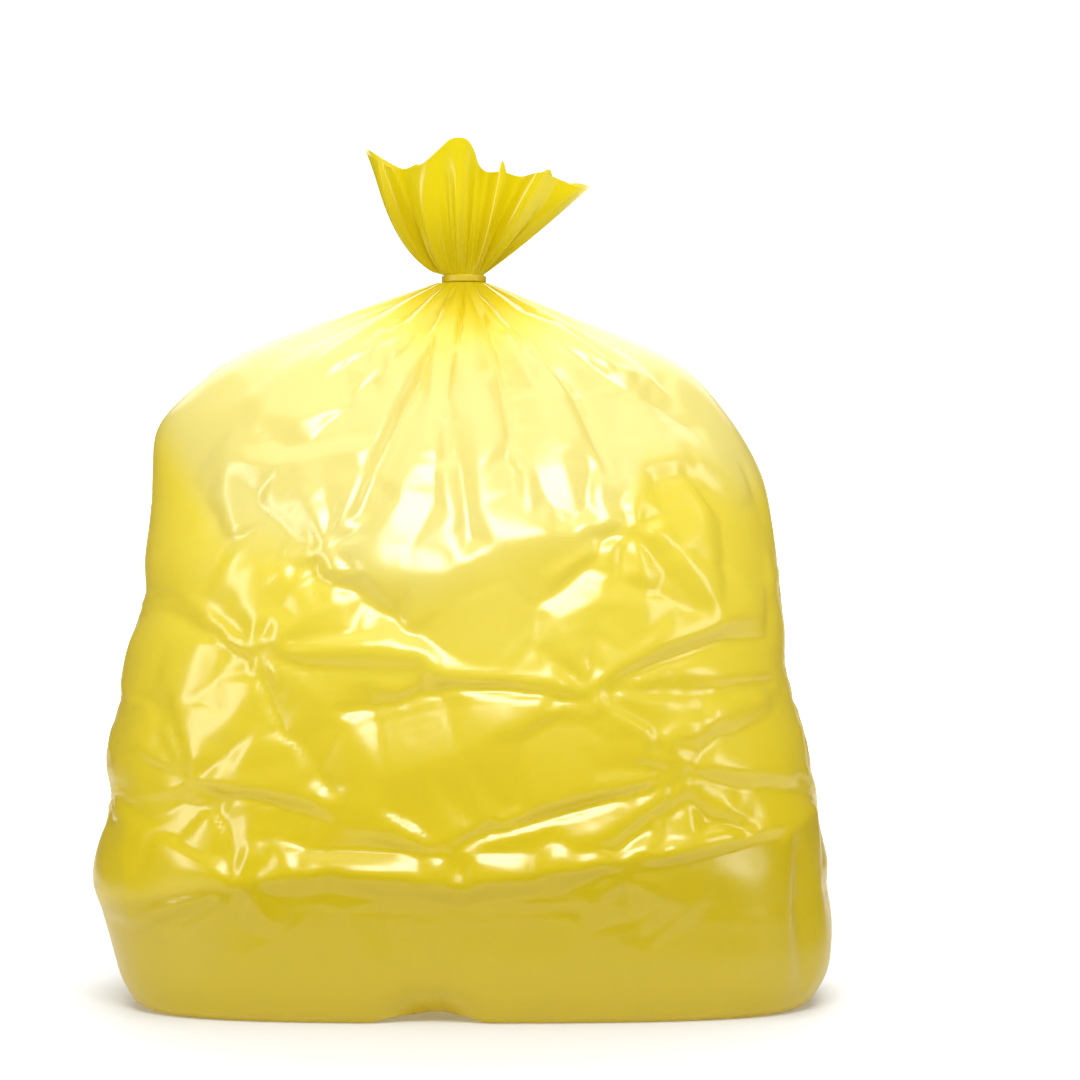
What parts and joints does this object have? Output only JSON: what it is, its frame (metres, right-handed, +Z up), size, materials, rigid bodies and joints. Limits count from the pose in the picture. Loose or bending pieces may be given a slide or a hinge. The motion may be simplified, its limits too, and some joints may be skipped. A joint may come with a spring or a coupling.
{
  "type": "garbage bag",
  "caption": "Full plastic refuse bag standing on a flat base, its film gathered to a tied neck with a flared ruffle above.",
  "frame": {"origin": "middle of the flat base, on the surface that the bag stands on", "axes": "+Z up through the tied neck, +X to the right seen from the front, front towards -Y"},
  "size_m": [0.5492, 0.357, 0.6308],
  "materials": {
    "yellow_film": "glossy translucent polyethylene film, crumpled",
    "tie_band": "satin golden yellow tie band"
  },
  "bodies": {
    "root": {"bag": "yellow_film", "neck_tie": "tie_band"}
  },
  "joints": []
}
